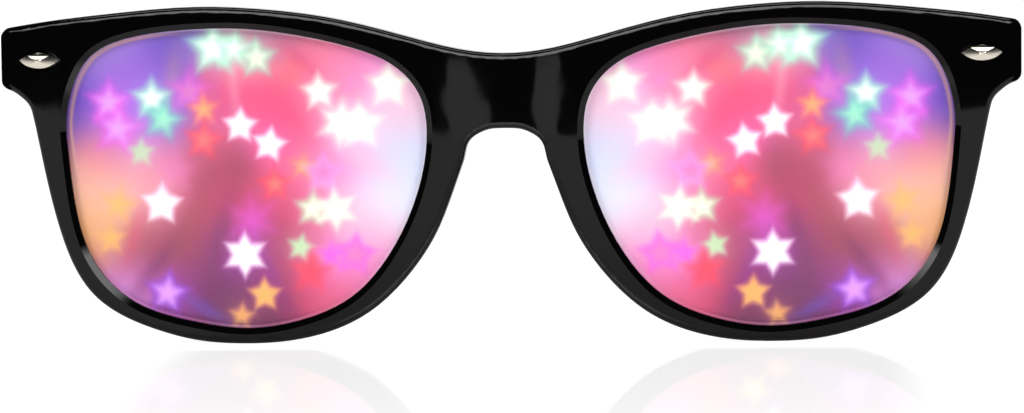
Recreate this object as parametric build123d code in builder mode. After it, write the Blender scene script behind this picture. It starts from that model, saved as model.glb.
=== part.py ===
from build123d import *

import math
import os

# Diffraction glasses: a wrapped gloss front with two laminated grating lenses and two folding temples.
# +Z is up, the front faces -Y and the temples run back along +Y. Left and right are the wearer's, so the
# left side is at +X. The glasses stand on the undersides of both rims and on both temple tips, at Z 0.

# Lens openings and the rims around them
opening_width = 52.4
opening_height = 42.8
bridge_gap = 22.2
rim_nose = 5.2
rim_temple = 4.9
rim_top = 3.05
rim_bottom = 2.25

# Bridge and end pieces
arch_height = 30.7
bridge_height = 10.6
end_reach = 9.5
end_drop = 3.1
end_height = 8.7
end_corner_radius = 1.3
shoulder_reach = 4.3
shoulder_fall = 3.2

# Depth of the front and its edges
wrap_radius = 300.0
front_thickness = 4.2
front_edge_radius = 0.9
rear_edge_radius = 0.8
opening_edge_radius = 0.5
bevel_width = 0.85
bevel_depth = 0.6

# Laminated lenses and their groove
groove_lip = 1.2
groove_bite = 1.0
front_sheet_thickness = 0.5
film_thickness = 0.2
back_sheet_thickness = 0.7
bond_thickness = 0.02
lens_clearance = 0.1

# Oval rivets
rivet_width = 5.9
rivet_height = 2.2
rivet_thickness = 0.95
rivet_crown = 0.45
rivet_end_fall = 0.45
rivet_end_inset = 5.65
rivet_top_inset = 4.55
rivet_recess_margin = 0.5
rivet_recess_depth = 0.45
rivet_recess_taper = 30.0
rivet_peg_radius = 0.8
rivet_peg_length = 2.2
rivet_peg_clearance = 0.02

# Lugs behind the end pieces
lug_width = 10.4
lug_proud = 1.15
lug_edge_chamfer = 0.25

# Hinges
barrel_radius = 1.5
barrel_length = 1.34
barrel_gap = 0.08
barrel_standoff = 0.25
barrel_count = 5
leaf_thickness = 0.8
leaf_corner_radius = 0.25
leaf_fit = 0.03
front_leaf_height = 7.1
front_leaf_inner = 4.0
front_leaf_outer = 3.4
temple_leaf_height = 4.6
temple_leaf_length = 10.0
temple_side_gap = 0.4

# Hinge screws
screw_radius = 0.7
screw_press_clearance = 0.02
screw_running_clearance = 0.05
screw_head_radius = 1.3
screw_head_height = 0.65
screw_head_edge = 0.15
screw_slot_width = 0.35
screw_slot_depth = 0.3

# Countersunk screws that hold the leaves
leaf_screw_radius = 0.45
leaf_screw_head_radius = 0.85
leaf_screw_angle = 82.0
leaf_screw_length = 2.6
leaf_screw_slot_width = 0.22
leaf_screw_slot_depth = 0.2
front_screw_inset = 1.35
front_screw_spacing = 3.6
temple_screw_end_inset = 1.5
temple_screw_spacing = 3.2

# Temples
temple_run = 139.0
temple_slope = 4.5
temple_root_thickness = 4.0
temple_tip_thickness = 3.1
temple_root_height = 8.6
temple_bend_height = 6.6
temple_tip_height = 9.2
temple_bow = 4.2
temple_straight = 14.0
temple_edge_radius = 0.8
temple_root_chamfer = 0.25
temple_butt_gap = 0.1
temple_root_drop = 0.1
ear_bend_radius = 25.0
ear_bend_angle = 36.0

# Nose pads
pad_height = 15.0
pad_width = 3.6
pad_depth = 5.4
pad_root_depth = 0.6
pad_inset = 0.6
pad_drop = 2.0
pad_lean = 1.2
pad_edge_radius = 0.5

overrun = 2.0

# Driven sizes
opening_left = bridge_gap / 2
half_width = opening_left + opening_width + end_reach
front_height = rim_bottom + opening_height + rim_top
end_top = front_height - end_drop
end_bottom = end_top - end_height
bridge_top = arch_height + bridge_height
rim_left = opening_left - rim_nose
rim_width = rim_nose + opening_width + rim_temple
film_depth = groove_lip + lens_clearance + front_sheet_thickness + bond_thickness
back_sheet_depth = film_depth + film_thickness + bond_thickness
groove_far = back_sheet_depth + back_sheet_thickness + lens_clearance
lens_grow = groove_bite - lens_clearance


def sag(x, behind):
    """How far the surface at a given depth behind the front face lies behind the bridge's front, at X."""
    return wrap_radius - math.sqrt((wrap_radius - behind) ** 2 - x**2)


overall_depth = sag(half_width, front_thickness) + lug_proud + temple_butt_gap + temple_run
front_y = -overall_depth / 2
butt_plane = front_y + sag(half_width, front_thickness) + lug_proud
temple_root = butt_plane + temple_butt_gap
temple_inner = half_width - temple_root_thickness
pivot_x = temple_inner - temple_side_gap - barrel_radius
pivot_y = butt_plane + barrel_standoff + barrel_radius
pivot_z = (end_top + end_bottom) / 2
barrel_pitch = barrel_length + barrel_gap
stack_height = barrel_count * barrel_pitch - barrel_gap
stack_bottom = pivot_z - stack_height / 2
stack_top = pivot_z + stack_height / 2

# Outline points as shares of the opening's box, of the rim's box, and of the runs between corners
opening_shares = [
    (1.0, 0.63),
    (0.985, 0.79),
    (0.93, 0.905),
    (0.81, 0.971),
    (0.66, 0.995),
    (0.50, 0.998),
    (0.35, 0.976),
    (0.20, 0.934),
    (0.085, 0.872),
    (0.018, 0.775),
    (0.0, 0.64),
    (0.028, 0.45),
    (0.103, 0.254),
    (0.212, 0.106),
    (0.35, 0.029),
    (0.50, 0.0),
    (0.66, 0.023),
    (0.81, 0.08),
    (0.92, 0.2),
    (0.98, 0.41),
]
brow_rise_shares = [(0.164, 0.29), (0.329, 0.74), (0.466, 0.94), (0.595, 1.0)]
brow_fall_shares = [(0.781, 0.69), (0.91, 0.335)]
shoulder_shares = [(0.62, 0.34), (1.0, 1.0)]
temple_side_shares = [(0.989, 0.5925), (0.943, 0.336), (0.862, 0.137), (0.706, 0.034)]
rim_foot_share = 0.5216
nose_side_shares = [(0.36, 0.02), (0.221, 0.0946), (0.086, 0.281), (0.001, 0.5405)]
arch_shares = [(0.86, 0.6), (0.5, 0.92)]
brow_end_shares = (1, -0.15)
shoulder_turn_shares = (-0.25, -1)
arch_turn_shares = (-0.36, 1)
pad_middle_share = 0.86
pad_end_share = 0.62
pad_middle_lean_share = 0.33
edge_probe_share = 0.37


def depth_at(x, behind=0):
    return front_y + sag(x, behind)


def upright(y):
    """The XZ plane moved to a given Y, with its normal facing forwards."""
    return Plane.XZ.offset(-y)


def rim_box_point(share):
    return (rim_left + rim_width * share[0], front_height * share[1])


def lens_face(grow):
    """The left lens opening as a face in the XZ plane, grown outwards by a given amount."""
    width = opening_width + 2 * grow
    height = opening_height + 2 * grow
    points = [(opening_left - grow + width * a, rim_bottom - grow + height * b) for a, b in opening_shares]
    with BuildSketch(Plane.XZ, mode=Mode.PRIVATE) as face:
        with BuildLine():
            Spline(points, periodic=True)
        make_face()
    return face.sketch


def curved_plate(face, near, far):
    """A face of the XZ plane, carried through the wrap and kept between two depths behind the front face."""
    with BuildPart(mode=Mode.PRIVATE) as plate:
        extrude(face.moved(Location((0, front_y - overrun, 0))), amount=-(sag(half_width, far) + 2 * overrun))
        with BuildSketch(Plane.XY.offset(-overrun)):
            with Locations((0, front_y + wrap_radius)):
                Circle(wrap_radius - near)
                Circle(wrap_radius - far, mode=Mode.SUBTRACT)
        extrude(amount=front_height + 2 * overrun, mode=Mode.INTERSECT)
    return plate.part


def front_outline():
    """The outer outline of the whole front, as a face in the XZ plane."""
    brow_rise = front_height - bridge_top
    brow_points = [(0, bridge_top)]
    brow_points += [(half_width * a, bridge_top + brow_rise * b) for a, b in brow_rise_shares]
    brow_points += [(half_width * a, end_top + end_drop * b) for a, b in brow_fall_shares]
    brow_points += [(half_width, end_top)]
    shoulder_points = [(half_width, end_bottom)]
    shoulder_points += [
        (half_width - shoulder_reach * a, end_bottom - shoulder_fall * b) for a, b in shoulder_shares
    ]
    foot = (rim_left + rim_width * rim_foot_share, 0)
    side_points = [shoulder_points[-1]] + [rim_box_point(share) for share in temple_side_shares] + [foot]
    nose_points = [foot] + [rim_box_point(share) for share in nose_side_shares]
    arch_x, arch_z = nose_points[-1]
    arch_points = [nose_points[-1]]
    arch_points += [(arch_x * a, arch_z + (arch_height - arch_z) * b) for a, b in arch_shares]
    arch_points += [(0, arch_height)]
    with BuildSketch(Plane.XZ, mode=Mode.PRIVATE) as outline:
        with BuildLine() as half:
            Spline(brow_points, tangents=[(1, 0), brow_end_shares])
            Line(brow_points[-1], shoulder_points[0])
            Spline(shoulder_points, tangents=[(-1, 0), shoulder_turn_shares])
            Spline(side_points, tangents=[shoulder_turn_shares, (-1, 0)])
            Spline(nose_points, tangents=[(-1, 0), arch_turn_shares])
            Spline(arch_points, tangents=[arch_turn_shares, (-1, 0)])
            mirror(half.line, about=Plane.YZ)
        make_face()
        corners = outline.vertices().group_by(Axis.X)
        fillet(corners[0] + corners[-1], radius=end_corner_radius)
    return outline.sketch


def edge_depth(edge):
    """How far a point of an edge lies behind the wrapped front face."""
    point = edge @ edge_probe_share
    return wrap_radius - math.hypot(point.X, point.Y - front_y - wrap_radius)


def at_depth(edges, depth):
    return edges.filter_by(lambda edge: abs(edge_depth(edge) - depth) < bond_thickness)


def on_opening(edge):
    """Whether an edge runs round a lens opening."""
    box = edge.bounding_box()
    return box.size.Z > opening_height / 2 and box.size.X > opening_width / 2 and edge.is_closed


def eye_face(plane, width, height):
    """A pointed oval between two arcs."""
    with BuildSketch(plane, mode=Mode.PRIVATE) as eye:
        with BuildLine():
            ThreePointArc((-width / 2, 0), (0, height / 2), (width / 2, 0))
            ThreePointArc((width / 2, 0), (0, -height / 2), (-width / 2, 0))
        make_face()
    return eye.sketch


def crown_radius(half_chord, fall):
    """The radius of an arc that falls by a given amount at half its chord."""
    return (half_chord**2 + fall**2) / (2 * fall)


rivet_x = half_width - rivet_end_inset
rivet_turn = math.asin(rivet_x / wrap_radius)
rivet_plane = Plane(
    origin=(rivet_x, depth_at(rivet_x), end_top - rivet_top_inset),
    x_dir=(math.cos(rivet_turn), math.sin(rivet_turn), 0),
    z_dir=(math.sin(rivet_turn), -math.cos(rivet_turn), 0),
)
rivet_seat = rivet_plane.offset(-rivet_recess_depth)

# Planes of the hinge leaves and of their screws, with normals that face out of the plastic
front_leaf_plane = Plane(
    origin=(pivot_x + (front_leaf_outer - front_leaf_inner) / 2, butt_plane, pivot_z),
    x_dir=(-1, 0, 0),
    z_dir=(0, 1, 0),
)
front_leaf_width = front_leaf_inner + front_leaf_outer
front_screw_planes = [
    front_leaf_plane * Location((front_leaf_width / 2 - front_screw_inset, side * front_screw_spacing / 2))
    for side in (-1, 1)
]
temple_leaf_plane = Plane(
    origin=(temple_inner, pivot_y - barrel_radius + temple_leaf_length / 2, pivot_z),
    x_dir=(0, 1, 0),
    z_dir=(-1, 0, 0),
)
temple_screw_planes = [
    temple_leaf_plane
    * Location((temple_leaf_length / 2 - temple_screw_end_inset - step * temple_screw_spacing, 0))
    for step in (0, 1)
]
sunk = (Align.CENTER, Align.CENTER, Align.MAX)


def leaf_pocket(plane, length, height):
    """The room for a leaf in the plastic, with the leaf's fit all round."""
    with BuildPart(mode=Mode.PRIVATE) as pocket:
        with BuildSketch(plane.offset(overrun)):
            RectangleRounded(length + 2 * leaf_fit, height + 2 * leaf_fit, leaf_corner_radius + leaf_fit)
        extrude(amount=-(leaf_thickness + leaf_fit + overrun))
    return pocket.part


def screw_hole(place):
    """The blind hole for a leaf screw, measured from the leaf's face."""
    with BuildPart(mode=Mode.PRIVATE) as hole:
        with Locations(place):
            Cylinder(leaf_screw_radius + leaf_fit, leaf_screw_length + leaf_fit, align=sunk)
    return hole.part


def leaf_screw(place):
    """A slotted countersunk screw whose head is flush with the leaf's face."""
    head_depth = (leaf_screw_head_radius - leaf_screw_radius) / math.tan(math.radians(leaf_screw_angle / 2))
    with BuildPart(mode=Mode.PRIVATE) as screw:
        with Locations(place):
            Cylinder(leaf_screw_radius, leaf_screw_length, align=sunk)
            Cone(leaf_screw_radius, leaf_screw_head_radius, head_depth, align=sunk)
            Box(2 * overrun, leaf_screw_slot_width, leaf_screw_slot_depth, align=sunk, mode=Mode.SUBTRACT)
    return screw.part


def barrels(levels, web_middle, web_size):
    """Hinge barrels at some levels of the stack, each with a web towards its leaf."""
    with BuildPart(mode=Mode.PRIVATE) as stack:
        for level in levels:
            with BuildSketch(Plane.XY.offset(stack_bottom + level * barrel_pitch)):
                with Locations((pivot_x, pivot_y)):
                    Circle(barrel_radius)
                with Locations(web_middle):
                    Rectangle(*web_size)
            extrude(amount=barrel_length)
    return stack.part


def pivot_bore(clearance):
    with BuildPart(mode=Mode.PRIVATE) as bore:
        with Locations((pivot_x, pivot_y, stack_top)):
            Cylinder(screw_radius + clearance, stack_height, align=sunk)
    return bore.part


def left_lug():
    """The block behind the left end piece that holds the hinge leaf and stops the temple."""
    start = depth_at(half_width - lug_width, front_thickness / 2)
    with BuildPart(mode=Mode.PRIVATE) as lug:
        with BuildSketch(upright(start)):
            with Locations((half_width - lug_width / 2, (end_top + end_bottom) / 2)):
                RectangleRounded(lug_width, end_height, end_corner_radius)
        extrude(amount=-(butt_plane - start))
        chamfer(lug.faces().sort_by(Axis.Y)[-1].edges(), length=lug_edge_chamfer)
    return lug.part


def left_nose_pad():
    """A leaning oval pad that grows out of the rim's rear, beside the nose."""
    foot_x, foot_z = rim_box_point(nose_side_shares[-2])
    head_x, head_z = rim_box_point(nose_side_shares[-1])
    slope = math.atan2(head_z - foot_z, head_x - foot_x)
    aside = pad_width / 2 + pad_inset
    middle_x = (foot_x + head_x) / 2 + aside * math.sin(slope) - pad_drop * math.cos(slope)
    middle_z = (foot_z + head_z) / 2 - aside * math.cos(slope) - pad_drop * math.sin(slope)
    rear = depth_at(middle_x, front_thickness)
    rings = [
        (-pad_root_depth, 1, 0),
        (pad_depth / 2, pad_middle_share, pad_middle_lean_share),
        (pad_depth, pad_end_share, 1),
    ]
    with BuildPart(mode=Mode.PRIVATE) as pad:
        for back, scale, lean_share in rings:
            with BuildSketch(upright(rear + back)):
                with Locations(Location((middle_x + pad_lean * lean_share, middle_z), math.degrees(slope))):
                    SlotOverall(pad_height * scale, pad_width * scale)
        loft()
        fillet(pad.faces().sort_by(Axis.Y)[-1].edges(), radius=pad_edge_radius)
    return pad.part


def left_front_cuts():
    """The leaf pocket, screw holes, rivet recess and peg hole of the front's left side."""
    recess = eye_face(
        rivet_plane, rivet_width + 2 * rivet_recess_margin, rivet_height + 2 * rivet_recess_margin
    )
    with BuildPart(mode=Mode.PRIVATE) as cuts:
        add(leaf_pocket(front_leaf_plane, front_leaf_width, front_leaf_height))
        for place in front_screw_planes:
            add(screw_hole(place))
        extrude(recess, amount=-rivet_recess_depth, taper=rivet_recess_taper)
        with Locations(rivet_seat):
            Cylinder(rivet_peg_radius + rivet_peg_clearance, rivet_peg_length + rivet_peg_clearance, align=sunk)
    return cuts.part


# Front: both rims, the bridge, the end pieces with their lugs, and the nose pads, moulded in one
with BuildPart() as front_frame:
    with BuildSketch(Plane.XZ, mode=Mode.PRIVATE) as front_face:
        add(front_outline())
        add(lens_face(0), mode=Mode.SUBTRACT)
        mirror(lens_face(0), about=Plane.YZ, mode=Mode.SUBTRACT)
    add(curved_plate(front_face.sketch, 0, front_thickness))
    front_skin = front_frame.faces().filter_by(lambda face: len(at_depth(face.edges(), 0)) > 2)[0]
    chamfer(
        at_depth(front_frame.edges().filter_by(on_opening), 0),
        length=bevel_width,
        length2=bevel_depth,
        reference=front_skin,
    )
    fillet(
        at_depth(front_frame.edges().filter_by(on_opening, reverse=True), 0),
        radius=front_edge_radius,
    )
    fillet(
        at_depth(front_frame.edges().filter_by(on_opening, reverse=True), front_thickness),
        radius=rear_edge_radius,
    )
    fillet(
        at_depth(front_frame.edges().filter_by(on_opening), front_thickness),
        radius=opening_edge_radius,
    )
    for addition in (left_lug(), left_nose_pad()):
        add(addition)
        mirror(addition, about=Plane.YZ)
    for cut in (curved_plate(lens_face(groove_bite), groove_lip, groove_far), left_front_cuts()):
        add(cut, mode=Mode.SUBTRACT)
        mirror(cut, about=Plane.YZ, mode=Mode.SUBTRACT)

# Lens: a clear front sheet, the grating film and a clear back sheet, bonded and sprung into the groove
with BuildPart() as left_lens_front_sheet:
    add(curved_plate(lens_face(lens_grow), groove_lip + lens_clearance, film_depth - bond_thickness))

with BuildPart() as left_grating_film:
    add(curved_plate(lens_face(lens_grow), film_depth, film_depth + film_thickness))

with BuildPart() as left_lens_back_sheet:
    add(curved_plate(lens_face(lens_grow), back_sheet_depth, back_sheet_depth + back_sheet_thickness))

# Oval rivet: a crowned, pointed oval on the floor of its recess, held by a pressed-in peg
cross_radius = crown_radius(rivet_height / 2, rivet_crown)
long_radius = crown_radius(rivet_width / 2, rivet_end_fall)

with BuildPart() as left_oval_rivet:
    extrude(eye_face(rivet_seat, rivet_width, rivet_height), amount=rivet_thickness)
    with Locations(rivet_seat.offset(rivet_thickness - cross_radius)):
        Cylinder(cross_radius, rivet_width + overrun, rotation=(0, 90, 0), mode=Mode.INTERSECT)
    with Locations(rivet_seat.offset(rivet_thickness - long_radius)):
        Sphere(long_radius, mode=Mode.INTERSECT)
    with Locations(rivet_seat):
        Cylinder(rivet_peg_radius, rivet_peg_length, align=sunk)

# Hinge: a front leaf with the outer and middle barrels, a temple leaf with those between, and a screw
with BuildPart() as left_front_hinge_leaf:
    with BuildSketch(front_leaf_plane):
        RectangleRounded(front_leaf_width, front_leaf_height, leaf_corner_radius)
    extrude(amount=-leaf_thickness)
    web_length = pivot_y - butt_plane + leaf_thickness / 2
    add(
        barrels(
            range(0, barrel_count, 2), (pivot_x, pivot_y - web_length / 2), (2 * barrel_radius, web_length)
        )
    )
    with Locations(*front_screw_planes):
        CounterSinkHole(
            leaf_screw_radius + leaf_fit, leaf_screw_head_radius + leaf_fit, counter_sink_angle=leaf_screw_angle
        )
    add(pivot_bore(screw_press_clearance), mode=Mode.SUBTRACT)

with BuildPart() as left_temple_hinge_leaf:
    with BuildSketch(temple_leaf_plane):
        RectangleRounded(temple_leaf_length, temple_leaf_height, leaf_corner_radius)
    extrude(amount=-leaf_thickness)
    web_length = temple_inner - pivot_x + leaf_thickness / 2
    add(
        barrels(
            range(1, barrel_count, 2), (pivot_x + web_length / 2, pivot_y), (web_length, 2 * barrel_radius)
        )
    )
    with Locations(*temple_screw_planes):
        CounterSinkHole(
            leaf_screw_radius + leaf_fit, leaf_screw_head_radius + leaf_fit, counter_sink_angle=leaf_screw_angle
        )
    add(pivot_bore(screw_running_clearance), mode=Mode.SUBTRACT)

with BuildPart() as left_hinge_screw:
    with Locations((pivot_x, pivot_y, stack_top)):
        Cylinder(screw_head_radius, screw_head_height, align=(Align.CENTER, Align.CENTER, Align.MIN))
        fillet(left_hinge_screw.edges().sort_by(Axis.Z)[-1], radius=screw_head_edge)
        Cylinder(screw_radius, stack_height, align=sunk)
    with Locations((pivot_x, pivot_y, stack_top + screw_head_height)):
        Box(2 * overrun, screw_slot_width, screw_slot_depth, align=sunk, mode=Mode.SUBTRACT)

with BuildPart() as left_front_leaf_screws:
    for place in front_screw_planes:
        add(leaf_screw(place))

with BuildPart() as left_temple_leaf_screws:
    for place in temple_screw_planes:
        add(leaf_screw(place))

# Temple: its side view runs down to the ear bend and drops to a round tip that stands on Z 0
tip_radius = temple_tip_height / 2
tip_y = temple_root + temple_run - tip_radius
tip_z = tip_radius
root_z = pivot_z - temple_root_drop
run_fall = math.tan(math.radians(temple_slope))
drop_fall = math.tan(math.radians(temple_slope + ear_bend_angle))
bend_y = (tip_z - root_z + drop_fall * tip_y - run_fall * temple_root) / (drop_fall - run_fall)
bend_z = root_z - run_fall * (bend_y - temple_root)
half_turn = math.radians(ear_bend_angle / 2)
bend_across = math.radians(90 - temple_slope) - half_turn
bend_offset = temple_bend_height / 2 / math.cos(half_turn)


def tip_tangent(point, side):
    """Where a line from a point touches the tip's circle, above it for side 1 and below it for side -1."""
    away_y = point[0] - tip_y
    away_z = point[1] - tip_z
    turn = math.atan2(away_z, away_y) - side * math.acos(tip_radius / math.hypot(away_y, away_z))
    return (tip_y + tip_radius * math.cos(turn), tip_z + tip_radius * math.sin(turn))


def temple_edge(side):
    """The corners of the temple's upper edge in side view for side 1, and of its lower edge for side -1."""
    root = (temple_root, root_z + side * temple_root_height / 2)
    bend = (
        bend_y + side * bend_offset * math.cos(bend_across),
        bend_z + side * bend_offset * math.sin(bend_across),
    )
    return [root, bend, tip_tangent(bend, side)]


with BuildPart() as left_temple:
    with BuildSketch(Plane.YZ):
        with BuildLine():
            top_edge = temple_edge(1)
            bottom_edge = temple_edge(-1)
            FilletPolyline(*top_edge, radius=ear_bend_radius + temple_bend_height / 2)
            FilletPolyline(*bottom_edge, radius=ear_bend_radius - temple_bend_height / 2)
            tip_turn = -math.radians(temple_slope + ear_bend_angle)
            tip_end = (tip_y + tip_radius * math.cos(tip_turn), tip_z + tip_radius * math.sin(tip_turn))
            ThreePointArc(top_edge[-1], tip_end, bottom_edge[-1])
            Line(top_edge[0], bottom_edge[0])
        make_face()
    extrude(amount=half_width + overrun)
    with BuildSketch(Plane.XY.offset(-overrun)):
        with BuildLine():
            outer = Line((half_width, temple_root), (half_width, temple_root + temple_straight))
            outer_bow = TangentArc(
                outer @ 1, (half_width - temple_bow, temple_root + temple_run), tangent=outer % 1
            )
            inner = Line((temple_inner, temple_root), (temple_inner, temple_root + temple_straight))
            inner_bow = TangentArc(
                inner @ 1,
                (half_width - temple_bow - temple_tip_thickness, temple_root + temple_run),
                tangent=inner % 1,
            )
            Line(outer @ 0, inner @ 0)
            Line(outer_bow @ 1, inner_bow @ 1)
        make_face()
    extrude(amount=front_height + 2 * overrun, mode=Mode.INTERSECT)
    root_edges = left_temple.faces().sort_by(Axis.Y)[0].edges()
    fillet(left_temple.edges() - root_edges, radius=temple_edge_radius)
    chamfer(left_temple.faces().sort_by(Axis.Y)[0].edges(), length=temple_root_chamfer)
    add(leaf_pocket(temple_leaf_plane, temple_leaf_length, temple_leaf_height), mode=Mode.SUBTRACT)
    for place in temple_screw_planes:
        add(screw_hole(place), mode=Mode.SUBTRACT)

left_pieces = {
    "lens_front_sheet": left_lens_front_sheet,
    "grating_film": left_grating_film,
    "lens_back_sheet": left_lens_back_sheet,
    "oval_rivet": left_oval_rivet,
    "front_hinge_leaf": left_front_hinge_leaf,
    "temple_hinge_leaf": left_temple_hinge_leaf,
    "hinge_screw": left_hinge_screw,
    "front_leaf_screws": left_front_leaf_screws,
    "temple_leaf_screws": left_temple_leaf_screws,
    "temple": left_temple,
}

os.makedirs("parts", exist_ok=True)
front_frame.part.label = "front_frame"
export_step(front_frame.part, "parts/front_frame.step")
for name, left_piece in left_pieces.items():
    with BuildPart() as right_piece:
        mirror(left_piece.part, about=Plane.YZ)
    left_piece.part.label = f"left_{name}"
    right_piece.part.label = f"right_{name}"
    export_step(left_piece.part, f"parts/left_{name}.step")
    export_step(right_piece.part, f"parts/right_{name}.step")
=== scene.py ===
import math

import bpy
import numpy as np
from mathutils import Matrix, Vector


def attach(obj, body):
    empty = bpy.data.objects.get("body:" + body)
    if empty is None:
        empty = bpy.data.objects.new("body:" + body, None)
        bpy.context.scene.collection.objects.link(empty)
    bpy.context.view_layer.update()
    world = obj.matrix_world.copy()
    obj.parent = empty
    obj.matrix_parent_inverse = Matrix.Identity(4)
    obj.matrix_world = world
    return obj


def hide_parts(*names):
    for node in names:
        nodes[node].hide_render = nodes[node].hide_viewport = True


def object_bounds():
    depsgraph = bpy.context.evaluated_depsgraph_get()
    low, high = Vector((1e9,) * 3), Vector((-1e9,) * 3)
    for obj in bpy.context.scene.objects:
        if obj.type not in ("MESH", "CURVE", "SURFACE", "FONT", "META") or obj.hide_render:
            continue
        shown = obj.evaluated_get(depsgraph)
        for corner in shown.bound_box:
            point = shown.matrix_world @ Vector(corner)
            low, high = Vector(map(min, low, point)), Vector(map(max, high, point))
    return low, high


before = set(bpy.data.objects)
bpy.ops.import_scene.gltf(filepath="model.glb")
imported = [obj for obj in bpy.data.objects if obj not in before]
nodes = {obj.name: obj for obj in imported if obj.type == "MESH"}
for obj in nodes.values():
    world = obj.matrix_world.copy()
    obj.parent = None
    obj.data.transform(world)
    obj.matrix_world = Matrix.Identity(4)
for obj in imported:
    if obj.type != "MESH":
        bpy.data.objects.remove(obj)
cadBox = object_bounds()
millimetre = 0.001
print("frame loaded")


# A shader socket. + - * and ** on it add Math nodes, and so do + - * with it on their right.
class Value:
    def __init__(self, tree, socket):
        self.tree = tree
        self.socket = socket

    def math(self, operation, first, second=0.0):
        return addNode(self.tree, "ShaderNodeMath", {"operation": operation}, {0: first, 1: second})

    def __add__(self, other):
        return self.math("ADD", self, other)

    def __radd__(self, other):
        return self.math("ADD", other, self)

    def __sub__(self, other):
        return self.math("SUBTRACT", self, other)

    def __rsub__(self, other):
        return self.math("SUBTRACT", other, self)

    def __mul__(self, other):
        return self.math("MULTIPLY", self, other)

    def __rmul__(self, other):
        return self.math("MULTIPLY", other, self)

    def __pow__(self, other):
        return self.math("POWER", self, other)


# Adds any node: its type, its settings (set first), then the values or links of its sockets.
# Gives back the output asked for, or the node itself where that is None.
def addNode(tree, kind, settings=None, sockets=None, output=0):
    node = tree.nodes.new(kind)
    for name, setting in (settings or {}).items():
        setattr(node, name, setting)
    for name, value in (sockets or {}).items():
        if isinstance(value, Value):
            tree.links.new(value.socket, node.inputs[name])
        else:
            node.inputs[name].default_value = value
    return Value(tree, node.outputs[output]) if output is not None else node


# A material's empty tree, ready for its shader.
def newMaterial(name):
    material = bpy.data.materials.new(name)
    material.use_nodes = True
    material.node_tree.nodes.clear()
    return material, material.node_tree


# Ends a material with its Principled shader: plain numbers stay on the shader's own sockets.
def finishPrincipled(tree, sockets):
    shader = addNode(tree, "ShaderNodeBsdfPrincipled", None, sockets)
    addNode(tree, "ShaderNodeOutputMaterial", None, {"Surface": shader}, output=None)


def noiseOf(tree, where, scale, detail, roughness):
    return addNode(
        tree,
        "ShaderNodeTexNoise",
        {"noise_dimensions": "3D"},
        {"Vector": where, "Scale": scale, "Detail": detail, "Roughness": roughness},
    )


def objectPlace(tree):
    return addNode(tree, "ShaderNodeTexCoord", output="Object")


def bumpFrom(tree, height, strength, distance):
    sockets = {"Height": height, "Strength": strength, "Distance": distance}
    return addNode(tree, "ShaderNodeBump", None, sockets)


# Falls smoothly from 1 to 0 as a value goes from the first limit to the second.
def fade(tree, value, limits):
    return addNode(
        tree,
        "ShaderNodeMapRange",
        {"interpolation_type": "SMOOTHSTEP"},
        {"Value": value, "From Min": limits[0], "From Max": limits[1], "To Min": 1.0, "To Max": 0.0},
    )


# Each noise is given by its scale, detail and roughness
blackSettings = {
    "colour": (0.0014, 0.0014, 0.0016, 1),
    "ior": 1.46,
    "specular": 0.3,
    "roughness": 0.02,
    "roughnessSpan": 0.05,
    "smudge": (55.0, 4.0, 0.6),
    "smudgePower": 2.0,
    "peel": (210.0, 1.0, 0.4),
    "peelStrength": 0.35,
    "peelHeight": 0.00002,
}


# Polished moulded plastic: near black, faint handling smudges, and a slow ripple in its gloss.
def makeGlossBlack():
    s = blackSettings
    material, tree = newMaterial("glossBlack")
    where = objectPlace(tree)
    smudge = noiseOf(tree, where, *s["smudge"])
    peel = noiseOf(tree, where, *s["peel"])
    finishPrincipled(tree, {
        "Base Color": s["colour"],
        "IOR": s["ior"],
        "Specular IOR Level": s["specular"],
        "Roughness": s["roughness"] + s["roughnessSpan"] * smudge ** s["smudgePower"],
        "Normal": bumpFrom(tree, peel, s["peelStrength"], s["peelHeight"]),
    })
    return material


metalSettings = {
    "rivetChrome": {
        "colour": (0.80, 0.75, 0.66, 1),
        "roughness": 0.11,
        "roughnessSpan": 0.08,
        "grain": (700.0, 3.0, 0.6),
        "bump": 0.05,
    },
    "hingeMetal": {
        "colour": (0.60, 0.60, 0.61, 1),
        "roughness": 0.26,
        "roughnessSpan": 0.16,
        "grain": (1500.0, 3.0, 0.6),
        "bump": 0.2,
    },
    "screwSteel": {
        "colour": (0.52, 0.52, 0.54, 1),
        "roughness": 0.2,
        "roughnessSpan": 0.2,
        "grain": (2200.0, 3.0, 0.6),
        "bump": 0.25,
    },
}
grainStretch = (0.15, 1.0, 1.0)
grainHeight = 0.00001


# Plated or turned metal: one colour, with its grain in the roughness and in a fine bump.
def makeMetal(name):
    s = metalSettings[name]
    material, tree = newMaterial(name)
    where = objectPlace(tree)
    stretched = addNode(tree, "ShaderNodeMapping", None, {"Vector": where, "Scale": grainStretch})
    grain = noiseOf(tree, stretched, *s["grain"])
    finishPrincipled(tree, {
        "Base Color": s["colour"],
        "Metallic": 1.0,
        "Roughness": s["roughness"] + s["roughnessSpan"] * grain,
        "Normal": bumpFrom(tree, grain, s["bump"], grainHeight),
    })
    return material


sheetSettings = {
    "colour": (0.96, 0.95, 0.98, 1),
    "ior": 1.5,
    "alpha": 0.015,
    "alphaSpan": 0.015,
    "roughness": 0.02,
    "roughnessSpan": 0.04,
    "haze": (90.0, 3.0, 0.6),
}


# Clear sheet: almost all of it is seen through, with a little haze from wiping.
def makeClearSheet():
    s = sheetSettings
    material, tree = newMaterial("clearSheet")
    haze = noiseOf(tree, objectPlace(tree), *s["haze"])
    finishPrincipled(tree, {
        "Base Color": s["colour"],
        "Roughness": s["roughness"] + s["roughnessSpan"] * haze,
        "Alpha": s["alpha"] + s["alphaSpan"] * haze,
        "IOR": s["ior"],
    })
    return material


filmSettings = {
    "roughness": 0.5,
    "roughnessSpan": 0.04,
    "shimmer": (260.0, 2.0, 0.5),
    "specular": 0.2,
    "coat": 0.4,
    "coatRoughness": 0.03,
    # strength of the film's painted glow
    "glow": 0.2,
}
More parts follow.
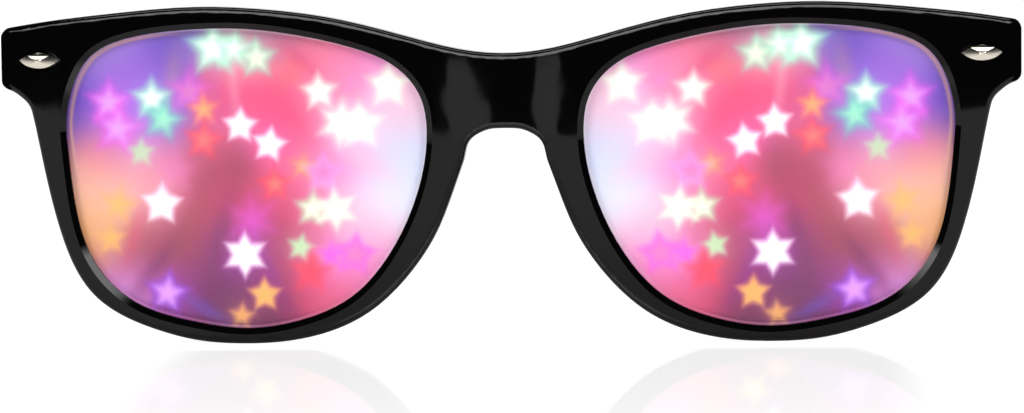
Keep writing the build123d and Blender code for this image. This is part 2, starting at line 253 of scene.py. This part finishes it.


# Grating film: its star lights are painted into the mesh, and the film gives off a little painted glow
# of their own colour, though it is no lamp.
def makeGratingFilm():
    s = filmSettings
    material, tree = newMaterial("gratingFilm")
    paint = addNode(tree, "ShaderNodeAttribute", {"attribute_name": "starLights"})
    shimmer = noiseOf(tree, objectPlace(tree), *s["shimmer"])
    finishPrincipled(tree, {
        "Base Color": paint,
        "Roughness": s["roughness"] + s["roughnessSpan"] * shimmer,
        "Specular IOR Level": s["specular"],
        "Coat Weight": s["coat"],
        "Coat Roughness": s["coatRoughness"],
        "Emission Color": paint,
        "Emission Strength": s["glow"],
    })
    return material


glossBlack = makeGlossBlack()
rivetChrome = makeMetal("rivetChrome")
hingeMetal = makeMetal("hingeMetal")
screwSteel = makeMetal("screwSteel")
clearSheet = makeClearSheet()
gratingFilm = makeGratingFilm()

finishOf = {
    "front_frame": glossBlack,
    "temple": glossBlack,
    "oval_rivet": rivetChrome,
    "front_hinge_leaf": hingeMetal,
    "temple_hinge_leaf": hingeMetal,
    "hinge_screw": screwSteel,
    "front_leaf_screws": screwSteel,
    "temple_leaf_screws": screwSteel,
    "lens_front_sheet": clearSheet,
    "lens_back_sheet": clearSheet,
}
for name, node in nodes.items():
    plainName = name.removeprefix("left_").removeprefix("right_")
    if plainName in finishOf:
        node.data.materials.clear()
        node.data.materials.append(finishOf[plainName])
print("CAD nodes finished")


# Colours of the lights, as they show on a screen
palette = {
    "white": (1.0, 1.0, 1.0),
    "cream": (0.98, 1.0, 0.92),
    "whitePink": (1.0, 0.94, 1.0),
    "lilac": (0.90, 0.62, 0.98),
    "violet": (0.58, 0.24, 0.84),
    "blueViolet": (0.36, 0.25, 0.72),
    "indigo": (0.30, 0.20, 0.66),
    "lavender": (0.58, 0.46, 0.80),
    "magenta": (0.92, 0.32, 0.90),
    "orchid": (0.92, 0.48, 0.78),
    "hotPink": (0.95, 0.28, 0.48),
    "rose": (0.83, 0.20, 0.40),
    "pink": (0.92, 0.46, 0.58),
    "palePink": (0.95, 0.74, 0.82),
    "mauve": (0.60, 0.21, 0.34),
    "plum": (0.38, 0.09, 0.28),
    "purple": (0.48, 0.09, 0.48),
    "dusk": (0.62, 0.24, 0.30),
    "peach": (0.93, 0.72, 0.66),
    "apricot": (0.95, 0.68, 0.42),
    "orange": (1.0, 0.74, 0.38),
    "coral": (0.98, 0.46, 0.42),
    "red": (0.98, 0.22, 0.33),
    "mint": (0.62, 0.98, 0.80),
    "teal": (0.36, 0.82, 0.74),
    "paleGreen": (0.74, 0.92, 0.70),
    "paleBlue": (0.80, 0.84, 0.96),
    "mistBlue": (0.90, 0.93, 1.0),
    "greyMauve": (0.62, 0.44, 0.56),
}

# Soft washes behind the stars: millimetres towards the temple and up from the lens centre, spread in
# millimetres, colour
washes = [
    (19.0, 17.0, 4.0, "lavender"),
    (9.0, 19.0, 3.6, "blueViolet"),
    (15.0, 12.0, 3.6, "violet"),
    (24.0, 9.0, 3.6, "indigo"),
    (17.0, 7.0, 3.6, "violet"),
    (10.0, 10.5, 3.2, "blueViolet"),
    (21.5, 3.5, 2.8, "coral"),
    (23.0, -0.5, 3.6, "peach"),
    (17.0, -1.0, 3.6, "peach"),
    (22.0, -7.0, 3.6, "apricot"),
    (14.0, 1.5, 4.0, "pink"),
    (15.5, -11.0, 4.0, "mauve"),
    (18.0, -16.5, 3.2, "lilac"),
    (10.0, -17.5, 3.6, "purple"),
    (8.0, -8.0, 4.0, "dusk"),
    (3.0, -17.0, 4.0, "plum"),
    (2.0, -10.0, 3.6, "purple"),
    (4.0, 1.0, 3.6, "mauve"),
    (2.0, -4.0, 3.2, "rose"),
    (3.5, 8.5, 3.6, "rose"),
    (2.0, 15.0, 3.6, "hotPink"),
    (-3.0, 20.0, 3.6, "greyMauve"),
    (-5.0, 13.0, 4.0, "hotPink"),
    (-12.0, 17.0, 3.6, "pink"),
    (-7.0, 6.0, 3.6, "hotPink"),
    (-17.0, 14.0, 3.6, "orchid"),
    (-22.0, 10.0, 3.2, "palePink"),
    (-14.0, 3.0, 3.6, "orchid"),
    (-22.0, 4.0, 4.0, "paleBlue"),
    (-20.0, -2.5, 3.6, "mistBlue"),
    (-17.0, -7.0, 3.2, "palePink"),
    (-8.0, -5.0, 3.6, "rose"),
    (-5.5, -10.0, 3.2, "mauve"),
    (-16.0, -12.0, 3.6, "orchid"),
    (-10.0, -16.0, 4.0, "rose"),
    (-3.0, -18.5, 3.2, "plum"),
    (-15.0, -18.0, 4.0, "pink"),
]

# Star lights: place as above, radius, turn in degrees, number of points, colours of the core, the rim and
# the glow, softness of the edge, strength
stars = [
    (4.4, 18.6, 3.7, -1, 5, "white", "mint", "mint", 1.23, 1.0),
    (1.4, 18.4, 2.6, 5, 5, "white", "mint", "mint", 1.23, 0.9),
    (-1.9, 17.1, 2.6, -2, 5, "cream", "mint", "mint", 0.97, 0.85),
    (20.0, 10.7, 3.2, 2, 5, "lilac", "magenta", "violet", 1.1, 0.9),
    (18.8, 7.0, 3.4, 9, 5, "lilac", "magenta", "magenta", 1.3, 0.9),
    (13.6, 11.3, 2.8, 0, 5, "white", "mint", "teal", 0.97, 0.95),
    (12.0, 8.3, 2.8, 13, 5, "mint", "teal", "teal", 1.1, 0.85),
    (8.2, 12.4, 2.9, 4, 5, "orchid", "magenta", "magenta", 1.23, 0.7),
    (6.0, 9.8, 2.3, -4, 5, "orange", "coral", "coral", 0.79, 0.75),
    (6.1, 5.4, 2.6, 7, 5, "coral", "red", "coral", 0.97, 0.8),
    (15.3, 3.6, 1.9, 1, 5, "paleGreen", "paleGreen", "paleGreen", 0.66, 0.75),
    (0.7, 7.5, 2.5, 3, 5, "white", "whitePink", "orchid", 0.62, 1.0),
    (-3.5, 4.8, 2.5, 9, 5, "white", "whitePink", "magenta", 0.62, 1.0),
    (-10.8, 12.3, 2.5, -3, 5, "white", "cream", "palePink", 0.85, 0.95),
    (-13.9, 7.8, 3.0, 5, 6, "white", "cream", "cream", 1.1, 1.0),
    (-16.6, 7.5, 3.1, -1, 5, "white", "cream", "cream", 1.1, 1.0),
    (-20.8, 13.2, 3.1, 1, 5, "white", "cream", "palePink", 0.97, 0.95),
    (-4.2, -0.9, 2.3, -1, 5, "coral", "red", "coral", 0.72, 0.8),
    (-8.3, 1.7, 2.1, 8, 5, "orange", "coral", "apricot", 0.85, 0.65),
    (-11.2, 0.7, 2.7, 2, 5, "orchid", "lilac", "orchid", 0.97, 0.75),
    (12.4, -3.8, 3.0, 3, 5, "white", "whitePink", "orchid", 0.66, 1.0),
    (18.8, -4.0, 2.6, 10, 5, "orange", "apricot", "apricot", 1.1, 0.75),
    (20.1, -8.9, 2.2, -2, 5, "orange", "apricot", "apricot", 0.79, 0.8),
    (-9.6, -4.4, 2.5, 5, 5, "cream", "paleGreen", "palePink", 0.79, 0.9),
    (-12.9, -4.5, 2.9, -4, 6, "cream", "cream", "palePink", 0.79, 0.95),
    (0.3, -11.0, 3.3, 0, 6, "white", "whitePink", "violet", 0.62, 1.0),
    (-7.8, -9.9, 1.9, 12, 5, "paleGreen", "paleGreen", "paleGreen", 0.62, 0.9),
    (-12.2, -11.0, 2.6, 1, 5, "magenta", "orchid", "magenta", 0.85, 0.85),
    (-15.6, -10.9, 2.9, 7, 5, "orchid", "magenta", "magenta", 0.85, 0.85),
    (-9.3, -13.4, 2.6, 4, 5, "red", "red", "red", 1.23, 0.8),
    (11.8, -16.6, 3.4, 8, 5, "lilac", "violet", "violet", 0.85, 0.95),
    (-2.5, -16.7, 2.5, -1, 5, "orange", "apricot", "plum", 0.62, 0.95),
    (0.9, -19.8, 1.9, 5, 5, "orange", "apricot", "apricot", 0.66, 0.8),
    (-0.9, -6.0, 2.6, -5, 6, "magenta", "magenta", "magenta", 1.73, 0.55),
    (10.2, 0.8, 2.4, 2, 5, "orchid", "orchid", "magenta", 1.73, 0.4),
    (-6.6, 15.0, 2.3, -1, 5, "coral", "coral", "coral", 1.6, 0.35),
    (-15.4, 13.6, 2.6, 5, 5, "orchid", "pink", "pink", 1.6, 0.4),
]

# Smears between the stars: place as above, half length and half width, lean in degrees, colour, strength
smears = [
    (5.5, 13.5, 5.0, 1.1, 92, "rose", 0.5),
    (1.5, 12.5, 5.5, 0.9, 84, "palePink", 0.3),
    (10.5, 14.5, 4.5, 1.3, 96, "greyMauve", 0.5),
    (-3.5, 9.5, 6.0, 1.4, 60, "hotPink", 0.6),
    (-7.5, 8.0, 6.0, 1.2, 52, "hotPink", 0.5),
    (-9.5, 15.5, 5.5, 1.3, 40, "rose", 0.45),
    (-18.0, 2.0, 5.0, 1.6, 30, "palePink", 0.4),
    (8.5, -6.5, 5.5, 1.3, 118, "dusk", 0.55),
    (4.0, -9.0, 6.0, 1.3, 104, "plum", 0.5),
    (13.5, -13.0, 5.5, 1.2, 128, "plum", 0.5),
    (-3.5, -14.0, 5.5, 1.1, 62, "purple", 0.5),
    (6.0, -19.0, 5.0, 1.0, 30, "blueViolet", 0.5),
    (16.5, -8.0, 4.5, 1.1, 110, "rose", 0.4),
    (1.0, 2.5, 4.5, 1.8, 90, "mauve", 0.5),
]

# Lines of painted highlight and shade along the lens's edge, where its rim shows through the sheets.
# Columns: inset and half width, middle and half span in degrees round the lens from the temple side,
# colour, strength
paintedEdgeLines = [
    (1.05, 0.16, 130, 120, "whitePink", 0.6),
    (1.45, 0.28, 30, 45, "peach", 0.8),
    (1.0, 0.14, -75, 60, "palePink", 0.45),
    (1.4, 0.1, -80, 42, "plum", 0.5),
    (1.75, 0.08, -75, 30, "plum", 0.35),
]

filmShape = {
    "wrapRadius": 300 * millimetre,
    "depth": 1.82 * millimetre,  # behind the front face, between the two clear sheets
    "thickness": 0.2 * millimetre,
    "cells": 222,  # along each side of the square that the lens is mapped from
    "outlineTurns": 721,  # directions in which the outline is read, all round
    "leastCosine": 0.05,
}

paintSettings = {
    "leastWeight": 1e-9,
    "starWaist": 0.6,  # inner radius of a star as a share of its outer radius
    "glowReach": 1.9,  # times the star's radius
    "glowFall": 2.0,
    "glowShare": 0.3,
    "coreInset": 0.2,  # share of the radius by which the core lies inside the star's edge
    "coreSoftness": 1.5,  # times the star's own softness
    "coreBlur": 0.4,  # millimetres on top of that
    "lineEnds": 2.0,  # how fast an edge line comes in from its ends
}


# The lens's reach from its centre in any direction: the least of support / cos over all directions,
# where the support in a direction is the farthest that any corner of the CAD film lies that way.
def readOutline(node):
    corners = np.empty(len(node.data.vertices) * 3)
    node.data.vertices.foreach_get("co", corners)
    corners = corners.reshape(-1, 3)[:, [0, 2]]
    centre = (corners.min(axis=0) + corners.max(axis=0)) / 2
    turns = np.linspace(-math.pi, math.pi, filmShape["outlineTurns"])
    directions = np.stack([np.cos(turns), np.sin(turns)], axis=1)
    support = (directions @ (corners - centre).T).max(axis=1)
    least = filmShape["leastCosine"]
    cosine = np.cos(turns[:, None] - turns[None, :])
    reach = np.where(cosine > least, support[None, :] / np.maximum(cosine, least), np.inf).min(axis=1)
    return centre, turns, reach


# Distance from a star's edge, negative inside: the plane is folded into one half point, where the edge
# is the straight line from the tip to the notch.
def starEdge(across, up, radius, waist, points, turn):
    fold = 2 * math.pi / points
    angle = np.arctan2(up, across) - math.radians(turn) - math.pi / 2
    angle = np.abs((angle + fold / 2) % fold - fold / 2)
    along = np.hypot(across, up)
    tip = np.array([radius, 0.0])
    notch = radius * waist * np.array([math.cos(fold / 2), math.sin(fold / 2)])
    edge = notch - tip
    normal = np.array([edge[1], -edge[0]]) / np.hypot(*edge)
    return (along * np.cos(angle) - tip[0]) * normal[0] + (along * np.sin(angle) - tip[1]) * normal[1]


def smoothStep(share):
    share = np.clip(share, 0, 1)
    return share * share * (3 - 2 * share)


# Screen colour of the film at places given in millimetres towards the temple and up from the centre:
# the washes blended by their distance, then the smears, each star's glow and body, and the edge lines
# of painted highlight and shade.
def paintLights(towardTemple, up, fromEdge):
    s = paintSettings
    weightSum = np.zeros_like(up)
    colour = np.zeros(up.shape + (3,))
    for washX, washZ, spread, name in washes:
        squared = (towardTemple - washX) ** 2 + (up - washZ) ** 2
        weight = np.exp(-squared / (2 * spread**2)) + s["leastWeight"]
        colour += weight[:, None] * np.array(palette[name])
        weightSum += weight
    colour /= weightSum[:, None]
    for smearX, smearZ, length, width, lean, name, strength in smears:
        leanAcross = math.cos(math.radians(lean))
        leanUp = math.sin(math.radians(lean))
        along = (towardTemple - smearX) * leanAcross + (up - smearZ) * leanUp
        aside = (up - smearZ) * leanAcross - (towardTemple - smearX) * leanUp
        weight = strength * np.exp(-((along / length) ** 2) - (aside / width) ** 2)[:, None]
        colour = colour + weight * (np.array(palette[name]) - colour)
    for starX, starZ, radius, turn, points, core, rim, glow, softness, strength in stars:
        across = towardTemple - starX
        rise = up - starZ
        distance = starEdge(across, rise, radius, s["starWaist"], points, turn)
        halo = np.exp(-((np.hypot(across, rise) / (s["glowReach"] * radius)) ** 2) * s["glowFall"])[:, None]
        colour = 1 - (1 - colour) * (1 - s["glowShare"] * strength * halo * np.array(palette[glow]))
        body = smoothStep(0.5 - distance / (2 * softness))[:, None]
        coreReach = s["coreSoftness"] * softness + s["coreBlur"]
        heart = smoothStep(0.5 - (distance + s["coreInset"] * radius) / coreReach)[:, None]
        light = np.array(palette[rim]) * (1 - heart) + np.array(palette[core]) * heart
        colour = colour + strength * body * (light - colour)
    around = np.arctan2(up, towardTemple)
    # painted highlight and shade where the lens's rim shows through the sheets
    for inset, half, middle, span, name, strength in paintedEdgeLines:
        turn = np.abs((around - math.radians(middle) + math.pi) % (2 * math.pi) - math.pi)
        length = smoothStep((1 - turn / math.radians(span)) * s["lineEnds"])
        line = length * np.exp(-(((fromEdge - inset) / half) ** 2))
        colour = colour + strength * line[:, None] * (np.array(palette[name]) - colour)
    return np.clip(colour, 0, 1)


# Screen colour to light, by the usual curve: a short straight part, then a power of 2.4.
def screenToLinear(colour):
    return np.where(colour <= 0.04045, colour / 12.92, ((colour + 0.055) / 1.055) ** 2.4)


# The film: a square grid bent into the lens by the concentric map (rings of squares become rings of the
# outline), laid on the wrapped surface y = front + wrap - sqrt((wrap - depth)^2 - x^2).
def makeFilm(side, sign):
    s = filmShape
    node = nodes[f"{side}_grating_film"]
    centre, turns, reach = readOutline(node)
    count = s["cells"] + 1
    a, b = np.meshgrid(np.linspace(-1, 1, count), np.linspace(-1, 1, count))
    wide = np.abs(a) >= np.abs(b)
    ring = np.where(wide, a, b)
    safe = np.where(ring == 0, 1, ring)
    swing = np.where(wide, math.pi / 4 * b / safe, math.pi / 2 - math.pi / 4 * a / safe)
    angle = (swing + np.where(ring < 0, math.pi, 0) + math.pi) % (2 * math.pi) - math.pi
    span = np.interp(angle, turns, reach)
    x = (centre[0] + np.abs(ring) * span * np.cos(angle)).ravel()
    z = (centre[1] + np.abs(ring) * span * np.sin(angle)).ravel()
    y = cadBox[0][1] + s["wrapRadius"] - np.sqrt((s["wrapRadius"] - s["depth"]) ** 2 - x**2)
    index = np.arange(count * count).reshape(count, count)
    quads = np.stack([index[:-1, :-1], index[:-1, 1:], index[1:, 1:], index[1:, :-1]], axis=-1).reshape(-1, 4)
    mesh = bpy.data.meshes.new(f"{side}_star_film")
    mesh.from_pydata(np.stack([x, y, z], axis=1), [], quads)
    towardTemple = (x - centre[0]) * sign / millimetre
    up = (z - centre[1]) / millimetre
    fromEdge = ((1 - np.abs(ring)) * span).ravel() / millimetre
    colour = screenToLinear(paintLights(towardTemple, up, fromEdge))
    paint = mesh.color_attributes.new("starLights", "FLOAT_COLOR", "POINT")
    paint.data.foreach_set("color", np.concatenate([colour, np.ones((len(colour), 1))], axis=1).ravel())
    mesh.shade_smooth()
    film = bpy.data.objects.new(f"{side}_star_film", mesh)
    bpy.context.scene.collection.objects.link(film)
    mesh.materials.append(gratingFilm)
    wall = film.modifiers.new("filmThickness", "SOLIDIFY")
    wall.thickness = s["thickness"]
    wall.offset = -1
    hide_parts(f"{side}_grating_film")
    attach(film, "front")


for side, sign in (("left", 1), ("right", -1)):
    makeFilm(side, sign)
    print(side, "star film made")


floorSettings = {
    "frontEdge": -0.45,  # how far the white floor runs in front of the glasses
    "backEdge": 3.0,
    "halfWidth": 2.5,
    "colour": (0.82, 0.81, 0.79, 1),
    "mirrorShare": 0.24,
    # Where the mirror goes out, in metres: behind the bridge's front, in front of it, and to either side of
    # a middle, short of the temples' images
    "mirrorNear": (-0.007, -0.002),
    "mirrorFar": (0.02, 0.22),
    "mirrorMiddle": 0.0055,
    "mirrorSides": (0.046, 0.0585),
    "mirrorRoughness": 0.03,
    "cameraDiffuse": 0.2,  # share of the lit floor that the camera sees, the rest of it is an even white
    "cameraWhite": 1.2,
}


# Pale floor: diffuse, a faint mirror under the front, and an even white that only the camera sees.
def makeFloor():
    s = floorSettings
    near = cadBox[0][1] + s["frontEdge"]
    corners = [
        (-s["halfWidth"], near, 0),
        (s["halfWidth"], near, 0),
        (s["halfWidth"], s["backEdge"], 0),
        (-s["halfWidth"], s["backEdge"], 0),
    ]
    mesh = bpy.data.meshes.new("paleFloor")
    mesh.from_pydata(corners, [], [(0, 1, 2, 3)])
    material, tree = newMaterial("paleFloor")
    diffuse = addNode(tree, "ShaderNodeBsdfDiffuse", None, {"Color": s["colour"]})
    white = addNode(tree, "ShaderNodeEmission", None, {"Color": (1, 1, 1, 1), "Strength": s["cameraWhite"]})
    evenWhite = addNode(tree, "ShaderNodeMixShader", None, {0: s["cameraDiffuse"], 1: white, 2: diffuse})
    cameraRay = addNode(tree, "ShaderNodeLightPath", output="Is Camera Ray")
    lit = addNode(tree, "ShaderNodeMixShader", None, {0: cameraRay, 1: diffuse, 2: evenWhite})
    mirror = addNode(tree, "ShaderNodeBsdfGlossy", None, {"Roughness": s["mirrorRoughness"]})
    where = objectPlace(tree)
    behind = addNode(tree, "ShaderNodeSeparateXYZ", None, {"Vector": where}, output="Y") - cadBox[0][1]
    across = addNode(tree, "ShaderNodeSeparateXYZ", None, {"Vector": where}, output="X")
    aside = across.math("ABSOLUTE", across - s["mirrorMiddle"])
    share = s["mirrorShare"] * fade(tree, behind, s["mirrorNear"]) * fade(tree, 0 - behind, s["mirrorFar"])
    share = share * fade(tree, aside, s["mirrorSides"])
    mixed = addNode(tree, "ShaderNodeMixShader", None, {0: share, 1: lit, 2: mirror})
    addNode(tree, "ShaderNodeOutputMaterial", None, {"Surface": mixed}, output=None)
    mesh.materials.append(material)
    floor = bpy.data.objects.new("paleFloor", mesh)
    bpy.context.scene.collection.objects.link(floor)


# Two pale cards lie in front of the floor's edge, where only gloss sees them: they give the bridge its grey
# patches. Corners are millimetres across and in front of the bridge.
cardSettings = {
    "strength": 1.1,
    "cards": [
        [(-62, 424), (-50, 424), (-40, 470), (-47, 560), (-68, 660), (-96, 830), (-118, 830), (-86, 560)],
        [(-8, 470), (-4, 424), (9, 424), (10, 560), (10, 830), (-16, 830), (-15, 660), (-14, 560)],
    ],
}


def makeCards():
    material, tree = newMaterial("paleCard")
    glossyRay = addNode(tree, "ShaderNodeLightPath", output="Is Glossy Ray")
    clear = addNode(tree, "ShaderNodeBsdfTransparent")
    glow = addNode(tree, "ShaderNodeEmission", None, {"Strength": cardSettings["strength"]})
    shader = addNode(tree, "ShaderNodeMixShader", None, {0: glossyRay, 1: clear, 2: glow})
    addNode(tree, "ShaderNodeOutputMaterial", None, {"Surface": shader}, output=None)
    for index, corners in enumerate(cardSettings["cards"]):
        mesh = bpy.data.meshes.new(f"paleCard{index}")
        places = [(x * millimetre, cadBox[0][1] - y * millimetre, 0) for x, y in corners]
        mesh.from_pydata(places, [], [tuple(range(len(places)))])
        mesh.materials.append(material)
        card = bpy.data.objects.new(f"paleCard{index}", mesh)
        bpy.context.scene.collection.objects.link(card)


# Limits are heights, or shares of the way back, on a sphere of radius 1
worldSettings = {
    "fill": 0.5,
    "dark": 0.004,
    "back": 1.0,
    "backTop": (0.3, 0.5),
    "backFront": (0.2, 0.5),
    "band": 7.0,
    "bandBottom": (0.34, 0.46),
    "bandTop": (0.78, 0.86),
    "bandBack": (-0.62, -0.52),
}


# World: white to the camera, an even fill on matt surfaces, and for gloss a dark room with a white
# backdrop low behind the glasses and a bright band high in front of them.
def makeWorld():
    s = worldSettings
    world = bpy.data.worlds.new("studio")
    world.use_nodes = True
    tree = world.node_tree
    tree.nodes.clear()
    direction = addNode(tree, "ShaderNodeTexCoord", output="Generated")
    backward = addNode(tree, "ShaderNodeSeparateXYZ", None, {"Vector": direction}, output="Y")
    upward = addNode(tree, "ShaderNodeSeparateXYZ", None, {"Vector": direction}, output="Z")
    backdrop = fade(tree, upward, s["backTop"]) * (1 - fade(tree, backward, s["backFront"]))
    band = (1 - fade(tree, upward, s["bandBottom"])) * fade(tree, upward, s["bandTop"])
    band = band * fade(tree, backward, s["bandBack"])
    glossView = s["dark"] + s["back"] * backdrop + s["band"] * band
    cameraRay = addNode(tree, "ShaderNodeLightPath", output="Is Camera Ray")
    transmitted = addNode(tree, "ShaderNodeLightPath", output="Is Transmission Ray")
    glossyRay = addNode(tree, "ShaderNodeLightPath", output="Is Glossy Ray")
    other = glossyRay * glossView + (1 - glossyRay) * s["fill"]
    seen = cameraRay.math("MAXIMUM", cameraRay, transmitted)
    strength = seen + (1 - seen) * other
    background = addNode(tree, "ShaderNodeBackground", None, {"Color": (1, 1, 1, 1), "Strength": strength})
    addNode(tree, "ShaderNodeOutputWorld", None, {"Surface": background}, output=None)
    bpy.context.scene.world = world


# Lamps: place, aim, size along and across in metres, watts, whether gloss shows it
lamps = {
    "overhead": ((0.0, 0.02, 0.80), (0.0, -0.05, 0.0), (0.9, 0.22), 2.6, True),
    "frontLeft": ((0.55, -0.75, 0.62), (0.0, -0.07, 0.02), (0.4, 0.4), 3.1, False),
    "frontRight": ((-0.55, -0.75, 0.62), (0.0, -0.07, 0.02), (0.4, 0.4), 3.1, False),
}


def makeLamps():
    for name, (place, aim, size, watts, glossy) in lamps.items():
        light = bpy.data.lights.new(name, "AREA")
        light.shape = "RECTANGLE"
        light.size, light.size_y = size
        light.energy = watts
        lamp = bpy.data.objects.new(name, light)
        lamp.visible_glossy = glossy
        lamp.location = place
        lamp.rotation_euler = (Vector(aim) - Vector(place)).to_track_quat("-Z", "Y").to_euler()
        bpy.context.scene.collection.objects.link(lamp)


cameraSettings = {
    "distance": 0.6,
    "azimuth": 3.579,
    "elevation": 4.85,
    "roll": -0.6805,
    "target": (0.000916, 0.0, 0.019666),  # from the bridge's front, on the floor
    "focalShare": 4250.1 / 1024,  # focal length over the picture's width
    "sensorWidth": 36.0,
    "clipStart": 0.01,
}


# Camera: back from its target along the view, with a small roll about it.
def makeCamera():
    s = cameraSettings
    turn = math.radians(s["azimuth"])
    lift = math.radians(s["elevation"])
    roll = math.radians(s["roll"])
    back = Vector((math.sin(turn) * math.cos(lift), -math.cos(turn) * math.cos(lift), math.sin(lift)))
    right = Vector((math.cos(turn), math.sin(turn), 0))
    up = back.cross(right)
    rolledRight = right * math.cos(roll) + up * math.sin(roll)
    rolledUp = up * math.cos(roll) - right * math.sin(roll)
    target = Vector(s["target"]) + Vector((0, cadBox[0][1], 0))
    data = bpy.data.cameras.new("photoCamera")
    data.sensor_fit = "HORIZONTAL"
    data.sensor_width = s["sensorWidth"]
    data.lens = s["focalShare"] * s["sensorWidth"]
    data.clip_start = s["clipStart"]
    camera = bpy.data.objects.new("photoCamera", data)
    axes = Matrix((rolledRight, rolledUp, back)).transposed()
    camera.matrix_world = Matrix.Translation(target + back * s["distance"]) @ axes.to_4x4()
    bpy.context.scene.collection.objects.link(camera)
    bpy.context.scene.camera = camera


makeFloor()
makeCards()
makeWorld()
makeLamps()
makeCamera()
bpy.context.scene.view_settings.view_transform = "Standard"
print("studio made")
